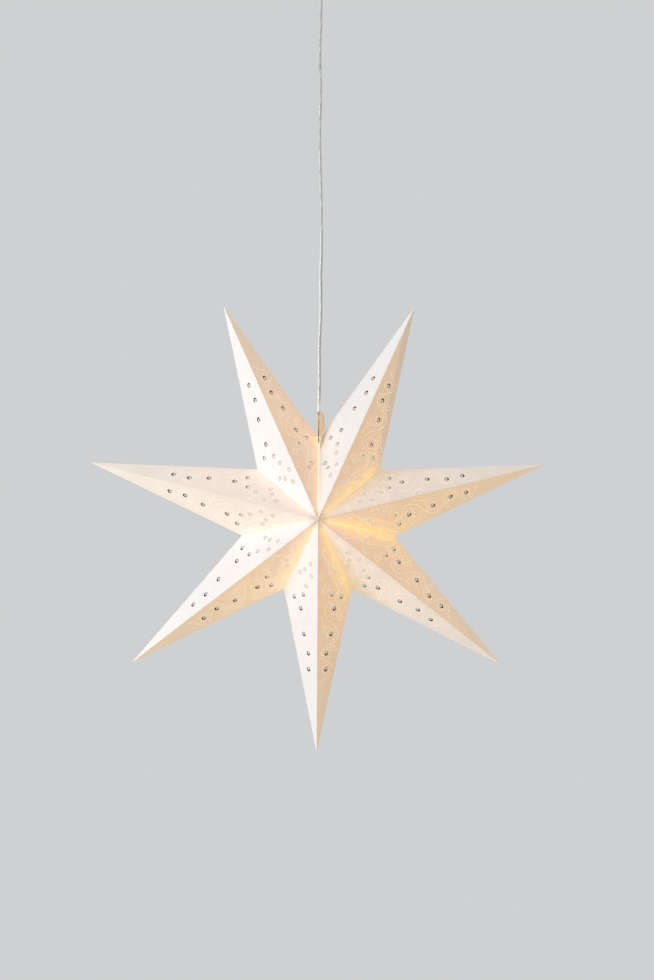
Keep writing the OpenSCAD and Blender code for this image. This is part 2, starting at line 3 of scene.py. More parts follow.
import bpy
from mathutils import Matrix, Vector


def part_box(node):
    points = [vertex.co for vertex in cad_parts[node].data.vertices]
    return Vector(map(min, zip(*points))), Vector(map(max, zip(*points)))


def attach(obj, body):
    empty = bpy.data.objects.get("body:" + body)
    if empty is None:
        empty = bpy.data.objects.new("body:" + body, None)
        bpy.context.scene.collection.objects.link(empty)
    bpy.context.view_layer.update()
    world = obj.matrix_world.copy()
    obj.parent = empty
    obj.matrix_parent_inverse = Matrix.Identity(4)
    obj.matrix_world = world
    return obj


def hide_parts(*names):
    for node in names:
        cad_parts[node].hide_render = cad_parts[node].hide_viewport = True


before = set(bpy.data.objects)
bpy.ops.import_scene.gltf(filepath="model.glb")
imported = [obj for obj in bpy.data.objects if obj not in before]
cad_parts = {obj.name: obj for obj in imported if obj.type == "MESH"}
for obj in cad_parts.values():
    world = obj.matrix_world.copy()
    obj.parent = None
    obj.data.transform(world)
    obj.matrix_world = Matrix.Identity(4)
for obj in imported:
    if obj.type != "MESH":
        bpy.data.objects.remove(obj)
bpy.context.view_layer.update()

import math

import bmesh
import bpy
from bpy.props import FloatProperty, FloatVectorProperty, PointerProperty
from bpy.types import Operator, Panel, PropertyGroup
from mathutils import Matrix, Vector

bl_info = {
    "name": "Paper star lantern",
    "version": (1, 0, 0),
    "blender": (4, 5, 0),
    "location": "3D View > Sidebar > Paper star",
    "description": "Looks of a folded paper star lantern",
    "category": "Object",
}

# The tips, clockwise from the top notch in steps of half a point, and how far hand folding has
# moved each one from its regular place, right and up, in metres
TIPS = {
    "top_right": (1, (-0.0078, 0.0024)),
    "right": (3, (-0.003, 0.0041)),
    "bottom_right": (5, (0.001, 0.0009)),
    "bottom": (7, (-0.0007, 0.0)),
    "bottom_left": (-5, (-0.0034, 0.0014)),
    "left": (-3, (0.0001, 0.0036)),
    "top_left": (-1, (0.0072, 0.0021)),
}

# Angle between a point's middle and the notch beside it
HALF_ANGLE = math.pi / len(TIPS)

# Eye cuts of one facet: share of the way to the tip, share of the facet's width there
EYES = (
    (0.188, 0.35), (0.213, 0.54), (0.224, 0.7), (0.24, 0.23), (0.283, 0.36), (0.319, 0.43),
    (0.33, 0.72), (0.38, 0.55), (0.489, 0.54), (0.571, 0.43), (0.64, 0.49),
)

# The cord's waves: share of its length from the top, and how far to the right, in metres
CORD_WAVE = (
    (0, 0), (0.14, 0), (0.22, -0.0012), (0.29, 0.0002), (0.37, -0.0008), (0.45, 0.0005), (0.52, 0.0017),
    (0.58, 0.0022), (0.65, 0.0014), (0.72, 0.0018), (0.78, 0.0003), (0.85, 0.0004), (0.91, 0), (1, 0),
)

# Pricked vine on one facet, in millimetres from the star's centre and from the ridge
VINE_STEM = (
    (46, 5), (55, 14), (63, 13), (71, 15.5), (80, 21), (88, 26), (97, 27), (107, 22), (112, 12),
    (121, 9), (131, 13), (139, 22), (149, 27), (160, 25), (165, 15), (171, 7), (181, 5.5),
    (188, 14), (193, 19), (201, 19.5), (208, 14), (211, 8), (216, 5),
)
VINE_TWIGS = (
    ((84, 30), (88, 36), (95, 39), (101, 38)),
    ((112, 38), (119, 35), (126, 31), (132, 31)),
    ((126, 5), (134, 7), (142, 8.5), (150, 8)),
    ((160, 30), (168, 27), (175, 21)),
)
# Curls: middle, first and last radius, where they start and how far they turn
VINE_CURLS = (
    ((40, 5.5), 1.6, 4.2, 40, 420), ((52, 20), 1.4, 4.0, 180, 400), ((80, 31), 1.5, 5.0, 90, 500),
    ((92, 8), 1.6, 5.2, 0, 480), ((128, 30), 1.6, 5.6, 250, 520), ((140, 9), 1.4, 4.6, 30, 440),
    ((170, 20), 1.4, 5.0, 200, 480),
)

# Where the light on the card changes, in metres: round an apex, along the valleys, towards the tips
HUB_REACH = 0.015
CROWD_REACH = 0.15
GLOW_REACH = 0.25
VALLEY_REACH = 0.19
PALE_TIPS_FROM, PALE_TIPS_LENGTH = 0.15, 0.15
SHARP_WIDTH = 0.0009
SOFT_WIDTH_AT_HUB, SOFT_WIDTH_GROWS, SOFT_WIDTH_OVER = 0.004, 0.008, 0.07
HEM_WIDTH, HEM_EDGE = 0.0075, 0.0012
VALLEY_LIGHT = (0.95, 0.74, 0.1)

# Side from which daylight outshines the glow
DAY_SIDE = (-0.745, -0.636, 0.2)

# Reach of an eye cut round its middle, and the cuts with a second ring of pin-pricks
EYE_REACH = 0.0045
RING_EYES = (6, 7, 8)

SAME_SPOT = 1e-6
GLASS_WALL = 0.0008
STEEL_TARNISH = (0.42, 0.4, 0.38)
PREFIX = "paper_star_"


def notch_corner(star):
    """The right-hand notch beside an upright point, as distance right and up."""
    return star.notch_radius * math.sin(HALF_ANGLE), star.notch_radius * math.cos(HALF_ANGLE)


def clamped(value):
    """The value held between 0 and 1."""
    return min(1.0, max(0.0, value))


def spline(points, steps):
    """Smooth line through the points, in so many steps between each two of them."""
    points = [Vector(p) for p in points]
    line = []
    for i in range(len(points) - 1):
        a, b, c, d = (points[min(max(k, 0), len(points) - 1)] for k in range(i - 1, i + 3))
        for k in range(steps):
            t = k / steps
            line.append(0.5 * (2 * b + (c - a) * t + (2 * a - 5 * b + 4 * c - d) * t * t
                               + (3 * b - a - 3 * c + d) * t ** 3))
    return line + [points[-1]]


# ---- Finishes


def arithmetic(operation, reflected=False):
    """A method that adds a Math node for one of Python's operators."""
    def method(self, other):
        return self.calc(operation, *((other, self) if reflected else (self, other)))
    return method


class Link:
    """A node's output, on which Python's arithmetic adds Math nodes."""

    def __init__(self, nodes, socket):
        self.nodes, self.socket = nodes, socket

    def calc(self, operation, *values, clamp=False):
        options = {"operation": operation, "use_clamp": clamp}
        return self.nodes.node("Math", options, dict(enumerate(values)))

    __add__, __radd__ = arithmetic("ADD"), arithmetic("ADD", True)
    __sub__, __rsub__ = arithmetic("SUBTRACT"), arithmetic("SUBTRACT", True)
    __mul__, __rmul__ = arithmetic("MULTIPLY"), arithmetic("MULTIPLY", True)
    __truediv__, __rtruediv__ = arithmetic("DIVIDE"), arithmetic("DIVIDE", True)
    __pow__ = arithmetic("POWER")

    def fit(self):
        """The output held between 0 and 1."""
        return self.calc("ADD", self, 0.0, clamp=True)

    def above(self, limit):
        """1 where the value is over the limit, otherwise 0."""
        return self.calc("GREATER_THAN", self, limit)

    def below(self, limit, fade):
        """1 well below the limit, fading to 0 at it."""
        return ((limit - self) / fade).fit()

    def sine(self):
        return self.calc("SINE", self)

    def bell(self, width):
        """1 where the value is 0, fading to nothing at about twice the width."""
        return self.calc("EXPONENT", (self / width) ** 2.0 * -1.0)


class Nodes:
    """A node tree that is built node by node."""

    def __init__(self, tree):
        self.tree = tree
        tree.nodes.clear()

    def feed(self, socket, value):
        if isinstance(value, Link):
            self.tree.links.new(value.socket, socket)
        elif hasattr(value, "__len__") and len(value) == 3 and len(socket.default_value) == 4:
            socket.default_value = (*value, 1)
        else:
            socket.default_value = value

    def node(self, kind, options=None, sockets=None, out=0):
        """A new node with its settings made first and its sockets filled or linked after."""
        made = self.tree.nodes.new("ShaderNode" + kind)
        for name, value in (options or {}).items():
            if name == "stops":
                while len(made.color_ramp.elements) < len(value):
                    made.color_ramp.elements.new(1.0)
                for stop, (place, colour) in zip(made.color_ramp.elements, value):
                    stop.position, stop.color = place, (*colour, 1)
            else:
                setattr(made, name, value)
        for name, value in (sockets or {}).items():
            self.feed(made.inputs[name], value)
        return Link(self, made.outputs[out]) if made.outputs else None


class Finish(Nodes):
    """The look of one material, built round its Principled shader."""

    def __init__(self, name, colour=(0.8, 0.8, 0.8), rough=0.5, **sockets):
        self.material = bpy.data.materials.new(name)
        self.material.use_nodes = True
        super().__init__(self.material.node_tree)
        self.shader = self.tree.nodes.new("ShaderNodeBsdfPrincipled")
        output = self.tree.nodes.new("ShaderNodeOutputMaterial")
        self.tree.links.new(self.shader.outputs[0], output.inputs[0])
        self.paint(colour)
        self.set("Roughness", rough)
        for socket, value in sockets.items():
            self.set(socket.replace("_", " "), value)

    def set(self, socket, value):
        self.feed(self.shader.inputs[socket], value)

    def glow(self, colour, strength=1.0):
        self.set("Emission Color", colour)
        self.set("Emission Strength", strength)

    def place(self, middle=(0, 0, 0), stretch=(1, 1, 1)):
        """The piece's own coordinates, measured from a middle."""
        own = self.node("TexCoord", out="Object")
        moved = self.vector("SUBTRACT", own, middle)
        return self.node("Mapping", {"vector_type": "POINT"}, {"Vector": moved, "Scale": stretch})

    def normal(self):
        return self.node("TexCoord", out="Normal")

    def split(self, vector):
        """The three parts of a vector."""
        parts = self.node("SeparateXYZ", None, {0: vector}).socket.node.outputs
        return [Link(self, part) for part in parts]

    def vector(self, operation, *values, out=0):
        return self.node("VectorMath", {"operation": operation}, dict(enumerate(values)), out)

    def length(self, vector):
        return self.vector("LENGTH", vector, out="Value")

    def dot(self, one, other):
        return self.vector("DOT_PRODUCT", one, other, out="Value")

    def around(self, middle=(0, 0, 0)):
        """The angle round an upright axis, and the height above its middle."""
        x, y, up = self.split(self.place(middle))
        return x.calc("ARCTAN2", y, x), up

    def marked(self, attribute):
        return self.node("Attribute", {"attribute_name": attribute, "attribute_type": "GEOMETRY"}, out="Fac")

    def noise(self, scale, detail, rough, at=None):
        sockets = {"Vector": at or self.place(), "Scale": scale, "Detail": detail, "Roughness": rough}
        return self.node("TexNoise", None, sockets)

    def ramp(self, value, *stops):
        return self.node("ValToRGB", {"stops": stops}, {"Fac": value})

    def mix(self, share, one, other, blend="MIX"):
        """One colour with a share of another laid over it."""
        return self.node("Mix", {"data_type": "RGBA", "blend_type": blend}, {0: share, 6: one, 7: other}, 2)

    def tint(self, value, colour):
        """A colour that grows with a value."""
        return self.mix(value, (0, 0, 0), colour)

    def paint(self, colour):
        self.set("Base Color", colour)

    def relief(self, height, distance, strength):
        """Small bumps over the surface, on top of those that it has."""
        sockets = {"Height": height, "Distance": distance, "Strength": strength}
        normal = self.shader.inputs["Normal"]
        if normal.is_linked:
            sockets["Normal"] = Link(self, normal.links[0].from_socket)
        self.set("Normal", self.node("Bump", None, sockets))


class FacetLight:
    """Where a spot lies on its facet, and how much of the bulb's light shows there."""

    def __init__(self, f, star):
        out_of = f.place((0, 0, -star.drop))
        side, _, up = f.split(out_of)
        normal = f.normal()
        self.reach = f.length(f.vector("MULTIPLY", out_of, (1, 0, 1)))
        # Outer faces only: the inner faces and the walls of the eye cuts are left out and painted dark as shade
        self.outside = f.dot(normal, out_of).above(0.0) * (1.0 - f.marked("cut"))
        self.weak_day = f.dot(normal, DAY_SIDE).below(0.97, 0.9)
        # Masks for painted light and shade: facets that face down, the right side, beside the seam, round the
        # apex, near the crowded centre and towards the tips
        self.down = ((0.05 - f.split(normal)[2]) * 1.3).fit() * self.weak_day * self.weak_day
        self.right = (side * 50.0 + 0.5).fit()
        self.beside_seam = (1.0 - self.right) * (up * 50.0).fit() * ((self.weak_day - 0.55) * 5.0).fit()
        self.hub_shade = (1.0 - self.reach / HUB_REACH).fit()
        self.crowd = (1.0 - self.reach / CROWD_REACH).fit()
        self.tips = ((self.reach - PALE_TIPS_FROM) / PALE_TIPS_LENGTH).fit()

        # Place along the point's middle and away from it
        along, across, _ = f.split(f.node("UVMap", {"uv_map": "facet"}))
        gap = along * math.sin(HALF_ANGLE) - across * math.cos(HALF_ANGLE)
        from_valley = gap.calc("MAXIMUM", gap, 0.0)
        notch_x, notch_z = notch_corner(star)
        edge = Vector((star.tip_radius - notch_z, notch_x)).normalized()
        self.from_edge = (star.tip_radius - along) * edge.y - across * edge.x

        # Light through the card, along the valleys and through the open seam
        fall = (1.0 - self.reach / GLOW_REACH).fit()
        strength = star.glow_far + (star.glow_near - star.glow_far) * fall
        self.through = strength * self.weak_day * (1.0 - self.hub_shade * 0.6)
        near = (1.0 - self.reach / VALLEY_REACH).fit() * (0.06 + 0.94 * self.weak_day) * (1.0 - self.hub_shade * 0.8)
        width = SOFT_WIDTH_AT_HUB + SOFT_WIDTH_GROWS * (self.reach / SOFT_WIDTH_OVER).fit()
        self.soft_valley = from_valley.bell(width) * near * (1.0 - 0.9 * self.beside_seam)
        self.sharp_valley = from_valley.bell(SHARP_WIDTH) * near * self.outside
        self.seam = side.bell(SHARP_WIDTH) * up.above(0.002) * self.outside * (1.0 - self.hub_shade)


def inner_light(f, star):
    """Light on the inner faces: strong beside the bulb, weak in the points."""
    depth = f.length(f.place((0, 0, -star.drop)))
    return f.ramp(depth / 0.3, (0.0, (0.8, 0.66, 0.5)), (0.345, (0.7, 0.57, 0.42)), (0.366, (0.08, 0.055, 0.035)),
                  (0.38, (0.05, 0.032, 0.018)), (0.5, (0.009, 0.006, 0.004)), (1.0, (0.005, 0.003, 0.002)))


def card_finish(star, name, hem):
    """White card lit from inside: warm where the daylight is weak, yellow along the valleys."""
    f = Finish(name, rough=0.66, Specular_IOR_Level=0.3)
    light = FacetLight(f, star)

    # The card itself: pressed fibres and a slight unevenness, with painted shade and light laid over them
    fibres = f.noise(1500, 4, 0.6)
    clouds = f.noise(16, 2, 0.5)
    shade = f.ramp(fibres, (0.3, (0.955, 0.955, 0.95)), (0.7, (1, 1, 1)))
    card = f.mix(0.55, star.card_colour, shade, "MULTIPLY")
    card = f.mix(1.0, card, f.ramp(clouds, (0.35, (0.975, 0.972, 0.965)), (0.65, (1, 1, 1))), "MULTIPLY")
    # Painted shade crowded round the centre and beside the seam, painted yellow light along the valleys, painted
    # warm light on facets that face down where the daylight is weak, and painted shade round the apex
    for share, shade in (
            (light.crowd * (0.05 + 0.38 * light.weak_day + 0.3 * light.beside_seam), star.crowd_colour),
            (light.soft_valley * (0.1 + 0.6 * light.right), (1.0, 0.97, 0.68)),
            (light.down * 0.35, (1.0, 0.97, 0.8)),
            (light.hub_shade * 0.8, (0.72, 0.66, 0.56))):
        card = f.mix(share, card, shade, "MULTIPLY")
    # Inner faces and the walls of the eye cuts painted near-black as shade
    f.paint(f.mix(light.outside, (0.04, 0.036, 0.032), card))

    # Light that comes through the card, painted as emission: painted weaker over the doubled card of the glue hem,
    # a painted blue tint round the crowded centre, paler and cooler towards the tips, yellow along the valleys and
    # bright along the open seam
    hemmed = 1.0 - hem * light.from_edge.below(HEM_WIDTH, HEM_EDGE)
    glow = f.tint(light.through * hemmed * (0.94 + 0.12 * clouds), star.glow_colour)
    for share, shine in (
            (light.crowd * light.crowd * light.weak_day * 0.09, (0.0, 0.1, 1.0)),
            (light.tips * 0.035, (0.3, 0.9, 1.0)),
            (light.soft_valley * 0.2, VALLEY_LIGHT),
            (light.sharp_valley * 0.13, (1.0, 0.8, 0.3)),
            (light.seam * 0.36, (1.0, 0.86, 0.5))):
        glow = f.mix(share, glow, shine, "ADD")
    f.glow(f.mix(light.outside, inner_light(f, star), glow))

    f.relief(clouds, 0.004, 0.5)
    f.relief(fibres, 0.00025, 0.45)
    return f.material


def flap_finish(star):
    """Inner side of the card on the glue flaps, lit by the bulb."""
    f = Finish("flap_card", rough=0.7, Specular_IOR_Level=0.25)
    fibres = f.noise(1500, 4, 0.6)
    # The white card painted near-black as shade inside the star; the bulb's light on it is painted as emission
    f.paint(f.ramp(fibres, (0.3, (0.09, 0.08, 0.07)), (0.7, (0.12, 0.11, 0.09))))
    f.glow(inner_light(f, star))
    f.relief(fibres, 0.00025, 0.5)
    return f.material


def prick_finish(star):
    """Raised rim of a pin-prick, with the light of the bulb in its middle."""
    f = Finish("pricked_card", rough=0.6, Specular_IOR_Level=0.3)
    hole = f.marked("hole")
    light = FacetLight(f, star)
    # The middle of each prick painted greyer as shade in the hole; the bulb's light through the card and in the
    # hole painted as emission, weaker where the daylight is strong
    f.paint(f.mix(hole, star.card_colour, (0.86, 0.82, 0.74)))
    glow = f.tint(light.through, star.glow_colour)
    glow = f.mix(light.soft_valley * 0.2, glow, VALLEY_LIGHT, "ADD")
    f.glow(f.mix(hole * (0.15 + 0.85 * light.weak_day), glow, star.prick_light, "ADD"))
    f.relief(f.noise(2600, 2, 0.5), 0.0001, 0.3)
    return f.material


def tab_finish(star, name, colour):
    """Tab card, warm from the light that leaves the seam below it."""
    f = Finish(name, rough=0.66, Specular_IOR_Level=0.3)
    fibres = f.noise(1500, 4, 0.6)
    clouds = f.noise(40, 2, 0.5)
    card = f.mix(0.5, colour, f.ramp(fibres, (0.3, (0.93, 0.925, 0.91)), (0.7, (1, 1, 1))), "MULTIPLY")
    shade = f.ramp(clouds, (0.3, (0.95, 0.93, 0.9)), (0.7, (1, 1, 1)))
    f.paint(f.mix(0.6, card, shade, "MULTIPLY"))

    # Outer faces catch the light that rises from the seam
    side, _, up = f.split(f.place((0, 0, -star.drop)))
    outer = (f.split(f.normal())[0] * side * 400.0 + 0.35).fit()
    low = up.below(0.155, 0.045)
    f.glow(f.tint(outer * (0.25 + 0.75 * low), (0.2, 0.11, 0.03)))
    f.relief(fibres, 0.00025, 0.4)
    return f.material


def tape_finish(name, colour, scale, height):
    """Face of a hook-and-loop dot: stiff hooks or soft loops."""
    f = Finish(name, colour, 0.85, Sheen_Weight=0.3)
    tufts = f.noise(scale, 5, 0.75)
    cells = f.node("TexVoronoi", {"feature": "F1"}, {"Vector": f.place(), "Scale": scale * 0.8})
    dark = [c * 0.55 for c in colour]
    f.paint(f.ramp(tufts, (0.3, dark), (0.65, colour)))
    f.relief(tufts - cells * 0.6, height, 0.8)
    return f.material


def sheath_finish(cord):
    """Clear PVC: nearly see-through, with a soft skin gloss."""
    f = Finish("clear_pvc", cord.sheath_colour, 0.16, Specular_IOR_Level=0.6, Coat_Weight=0.6)
    haze = f.noise(45, 3, 0.6, f.place(stretch=(1, 1, 0.5)))
    up = f.split(f.place())[2]
    left = (f.split(f.normal())[0] * -1.6 - 0.2).fit()
    low = up.below(-0.43, 0.05)

    # Painted shade where it runs between the tabs, painted warm light above them and a painted bright glow where
    # it enters the star
    tabs_top, warm_from, warm_over = -0.687, -0.64, 0.1
    held = up.below(tabs_top, 0.008)
    # Painted highlight: the left flank of the lower half is made more opaque, so that its white shows
    f.set("Alpha", (0.2 + 0.25 * haze + 0.55 * left * low) * (1.0 - held) + 0.9 * held)
    f.paint(f.mix(held, cord.sheath_colour, (0.15, 0.06, 0.02)))
    f.glow(f.ramp((warm_from - up) / warm_over, (0.16, (0, 0, 0)), (0.36, (0.3, 0.24, 0.17)),
                  (0.48, (0.12, 0.08, 0.04)), (0.56, (0, 0, 0)), (0.79, (0, 0, 0)), (0.83, (0.95, 0.78, 0.45))))
    f.relief(f.noise(300, 2, 0.5), 0.0002, 0.25)
    return f.material


def core_finish(name, metal):
    """Fine stranded wire under its own thin clear insulation."""
    f = Finish(name, metal, 0.4, Metallic=0.15, Coat_Weight=0.7)
    turn, up = f.around()
    strands = (turn * 7.0 + up * 2600.0).sine()
    dark = [c * 0.62 for c in metal]
    wires = f.mix(strands * 0.5 + 0.5, dark, metal)
    marks = f.ramp(f.noise(60, 4, 0.6), (0.35, dark), (0.6, (1, 1, 1)))
    f.paint(f.mix(0.6, wires, marks, "MULTIPLY"))
    f.relief(strands, 0.00012, 0.6)
    return f.material


def plastic_finish(name, colour, rough, ribs=0, middle=(0, 0, 0), band=(0, 0)):
    """Moulded plastic with a fine grain and, on a grip, upright ribs."""
    f = Finish(name, colour, rough, Specular_IOR_Level=0.5, Coat_Weight=0.15)
    grain = f.noise(900, 3, 0.55)
    clouds = f.noise(30, 2, 0.5)
    soft = [c * 0.955 for c in colour]
    f.paint(f.ramp(clouds, (0.35, soft), (0.65, colour)))
    f.set("Roughness", rough - 0.05 + 0.1 * grain)
    f.relief(grain, 0.00012, 0.35)
    if ribs:
        turn, up = f.around(middle)
        inside = up.above(band[0]) * (1.0 - up.above(band[1]))
        f.relief((turn * ribs).sine() * inside, 0.0004, 0.9)
    return f.material


def ceramic_finish():
    """Glazed core of the lampholder."""
    f = Finish("holder_ceramic", (0.86, 0.84, 0.79), 0.25, Coat_Weight=0.5)
    specks = f.noise(700, 2, 0.5)
    f.paint(f.ramp(specks, (0.28, (0.7, 0.67, 0.6)), (0.36, (0.86, 0.84, 0.79))))
    f.relief(f.noise(120, 3, 0.5), 0.0004, 0.3)
    return f.material


def metal_finish(name, colour, rough, tarnish=(0.5, 0.36, 0.18), brushed=(1, 1, 1)):
    """Bare metal with rolled marks and a little tarnish."""
    f = Finish(name, colour, rough, Metallic=1.0)
    marks = f.noise(420, 4, 0.6, f.place(stretch=brushed))
    stains = f.noise(140, 3, 0.6)
    f.paint(f.mix(((stains - 0.5) * 3.0).fit() * 0.35, colour, tarnish))
    f.set("Roughness", rough - 0.07 + 0.16 * marks)
    f.relief(marks, 0.00015, 0.35)
    return f.material


def zinc_finish(name, scale):
    """Bright zinc plating with its faint spangle."""
    f = Finish(name, (0.74, 0.76, 0.79), 0.32, Metallic=1.0)
    spangle = f.node("TexVoronoi", {"feature": "F1"}, {"Vector": f.place(), "Scale": scale}, "Color")
    tone = f.node("SeparateColor", None, {0: spangle})
    f.paint(f.ramp(tone, (0.0, (0.66, 0.68, 0.71)), (1.0, (0.8, 0.82, 0.85))))
    f.set("Roughness", 0.24 + 0.16 * tone)
    f.relief(f.noise(600, 3, 0.5), 0.0001, 0.3)
    return f.material


def glass_finish(bulb):
    """Clear bulb glass with a warm shine from the filament."""
    f = Finish("bulb_glass", (1.0, 0.97, 0.92), 0.04, Transmission_Weight=1.0, IOR=1.45)
    f.relief(f.noise(60, 2, 0.5), 0.0004, 0.2)
    f.glow(f.tint(0.35 + 0.3 * f.noise(20, 2, 0.5), bulb.glow_colour), bulb.glass_glow)
    return f.material


def stem_finish():
    """Glass stem that holds the filament's wires."""
    f = Finish("stem_glass", (0.95, 0.97, 0.96), 0.08, Transmission_Weight=0.85, IOR=1.5)
    f.relief(f.noise(160, 2, 0.5), 0.0005, 0.3)
    return f.material


def filament_finish(bulb):
    """Coiled tungsten at working heat."""
    f = Finish("filament", (0.4, 0.3, 0.2), 0.4, Metallic=0.6)
    coil = (f.noise(2200, 2, 0.5) * 8.0).sine()
    f.glow(f.mix(coil * 0.25 + 0.5, (1.0, 0.45, 0.12), bulb.glow_colour), bulb.filament_glow)
    f.relief(coil, 0.0002, 0.6)
    return f.material


def black_glass_finish():
    """Black glass between the bulb's screw cap and its tip."""
    f = Finish("black_glass", (0.02, 0.02, 0.022), 0.12, Coat_Weight=0.6)
    f.paint(f.ramp(f.noise(500, 2, 0.5), (0.3, (0.012, 0.012, 0.014)), (0.7, (0.035, 0.035, 0.04))))
    f.relief(f.noise(180, 2, 0.5), 0.0003, 0.3)
    return f.material


# ---- Pieces


def dress(material, *nodes):
    """Gives CAD nodes their finish."""
    for node in nodes:
        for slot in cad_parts[node].material_slots:
            slot.material = material


def scene_object(name, data):
    """A new object in the scene."""
    made = bpy.data.objects.new(name, data)
    bpy.context.scene.collection.objects.link(made)
    return made


def mount(name, data, body):
    """A new piece made from its mesh or curve, riding on a body."""
    piece = scene_object(name, data)
    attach(piece, body)
    return piece


def mesh_from(name, bm):
    """A new mesh made from a bmesh, which ends with it."""
    mesh = bpy.data.meshes.new(name)
    bm.to_mesh(mesh)
    bm.free()
    return mesh


def new_piece(name, bm, material, body):
    """A new piece made from a bmesh, riding on a body."""
    mesh = mesh_from(name, bm)
    mesh.materials.append(material)
    return mount(name, mesh, body)


def merged_copy(node):
    """A CAD node's mesh with its corners joined and without its maps, as a bmesh."""
    bm = bmesh.new()
    bm.from_mesh(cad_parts[node].data)
    bmesh.ops.remove_doubles(bm, verts=bm.verts, dist=SAME_SPOT)
    for maps in (bm.loops.layers.uv, bm.loops.layers.float_vector):
        while maps.values():
            maps.remove(maps.values()[0])
    for face in bm.faces:
        face.smooth = False
    return bm


def upright(star, step):
    """From a point's upright frame to its place in the star."""
    turn = Matrix.Rotation(step * HALF_ANGLE, 4, "Y")
    return Matrix.Translation((0, 0, -star.drop)) @ turn


def tip_share(star, co):
    """How much a spot of an upright point follows its tip: 0 at the valleys, 1 at the tip."""
    return max(0.0, (co.z - abs(co.x) / math.tan(HALF_ANGLE)) / star.tip_radius)


def tip_move(step, shift):
    """The shift of a tip, seen in the upright frame of its point."""
    return Matrix.Rotation(-step * HALF_ANGLE, 3, "Y") @ Vector((shift[0], 0, shift[1]))


def lean(star, bm, step, shift):
    """Leans a point that stands upright, so that its tip moves by the shift and its valleys stay."""
    move = tip_move(step, shift)
    for vert in bm.verts:
        vert.co += move * tip_share(star, vert.co)


def lean_with_neighbours(star, bm):
    """Lets a piece behind the cards follow the lean of the point in front of each spot."""
    points = [(upright(star, step), tip_move(step, shift)) for step, shift in TIPS.values()]
    for vert in bm.verts:
        spots = [(place.inverted() @ vert.co, place, move) for place, move in points]
        local, place, move = min(spots, key=lambda spot: abs(math.atan2(spot[0].x, spot[0].z)))
        vert.co = place @ (local + move * tip_share(star, local))


def slice_up(bm, axis, places):
    """Cuts a mesh across at each place along one axis, so that it can bend there."""
    for place in places:
        co, no = Vector((0, 0, 0)), Vector((0, 0, 0))
        co[axis], no[axis] = place, 1
        bmesh.ops.bisect_plane(bm, geom=bm.verts[:] + bm.edges[:] + bm.faces[:], plane_co=co, plane_no=no)


def pinch(star, co, high=0.0):
    """Draws the front of the closing seam together: how far a spot moves towards the middle."""
    front_from, front_over, closed = -0.004, 0.008, 0.95
    front = clamped((front_from - co.y) / front_over)
    share = star.tab_pinch + (closed - star.tab_pinch) * clamped(high)
    return -co.x * front * share


def close_seam(star, bm):
    """Brings the open edges at the top seam together, and the roots of the tabs in front of the cord."""
    open_half, stays_open = 0.0007, 0.15
    root_low, root_inner, root_outer, root_deep = 0.083, 0.0023, 0.0033, 0.0131
    edge_slope = 1.27
    slice_up(bm, 1, (-0.012, -0.008, -0.004))
    for vert in bm.verts:
        co, up = vert.co, vert.co.z + star.drop
        if abs(co.x) < open_half and up < 0.002:
            reach = star.tip_radius if up > 0.001 else star.notch_radius
            sunk = (1 - stays_open) * math.hypot(co.x, up) * star.half_depth / reach
            co.y += math.copysign(sunk, co.y)
            co.x, co.z = co.x * stays_open, up * stays_open - star.drop
        elif abs(co.x) < open_half:
            co.x *= stays_open
        elif root_inner < abs(co.x) < root_outer and up > root_low and abs(co.y) < root_deep:
            step = pinch(star, co)
            co.x += step
            if up < star.notch_radius:
                co.z -= abs(step) * edge_slope


def map_facets(bm):
    """Writes each spot's place along and across its upright point into a map."""
    facet = bm.loops.layers.uv.new("facet")
    for face in bm.faces:
        for loop in face.loops:
            loop[facet].uv = (loop.vert.co.z, abs(loop.vert.co.x))


def on_facet(star, along, aside):
    """Place on the outer face of the front right facet of an upright point."""
    apex, ridge, across, _ = facet_axes(star)
    b = aside / across.x
    return apex + ridge * ((along - b * across.z) / ridge.z) + across * b


def to_front_right(co):
    """Signs that carry a spot of an upright point to its front right facet, and back again."""
    return Vector((math.copysign(1, co.x), -math.copysign(1, co.y), 1))


def open_eyes(star, bm):
    """Draws in the flap of each eye cut of an upright point, and marks the cut edges round it."""
    flap_reach, square_on = 0.0022, 0.8
    eyes = [on_facet(star, *place) for place in eye_places(star)]
    for vert in bm.verts:
        signs = to_front_right(vert.co)
        place = vert.co * signs
        for eye in eyes:
            if (place - eye).length < flap_reach:
                vert.co = (eye + (place - eye) * star.eye_flap) * signs
    bm.normal_update()
    # The walls round each cut are marked so that the card's finish paints them dark as shade
    cut = bm.faces.layers.float.new("cut")
    outward = facet_axes(star)[3]
    for face in bm.faces:
        middle = face.calc_center_median()
        signs = to_front_right(middle)
        edge_on = abs((face.normal * signs).dot(outward)) < square_on
        if edge_on and any((middle * signs - eye).length < EYE_REACH for eye in eyes):
            face[cut] = 1.0


def facet_axes(star):
    """Front apex, ridge, across and outward directions of the facet right of an upright ridge."""
    notch_x, notch_z = notch_corner(star)
    apex = Vector((0, -star.half_depth, 0))
    tip = Vector((0, 0, star.tip_radius))
    ridge = (tip - apex).normalized()
    inward = (tip - apex).cross(Vector((notch_x, 0, notch_z)) - apex).normalized()
    return apex, ridge, inward.cross(ridge), -inward


def half_width(star, along):
    """Width of a point from its middle to its edge."""
    notch_x, notch_z = notch_corner(star)
    if along < notch_z:
        return along * math.tan(HALF_ANGLE)
    return notch_x * (star.tip_radius - along) / (star.tip_radius - notch_z)


def eye_places(star):
    """How far each eye cut of a facet lies from the centre and from the ridge."""
    return [(a * star.tip_radius, b * half_width(star, a * star.tip_radius)) for a, b in EYES]


def curl(middle, first, last, start, turn, steps):
    """Points round a middle, with the radius going from first to last over the turn in degrees."""
    points = []
    for k in range(steps + 1):
        angle, radius = math.radians(start + turn * k / steps), first + (last - first) * k / steps
        points.append(middle + radius * Vector((math.cos(angle), math.sin(angle), 0)))
    return points


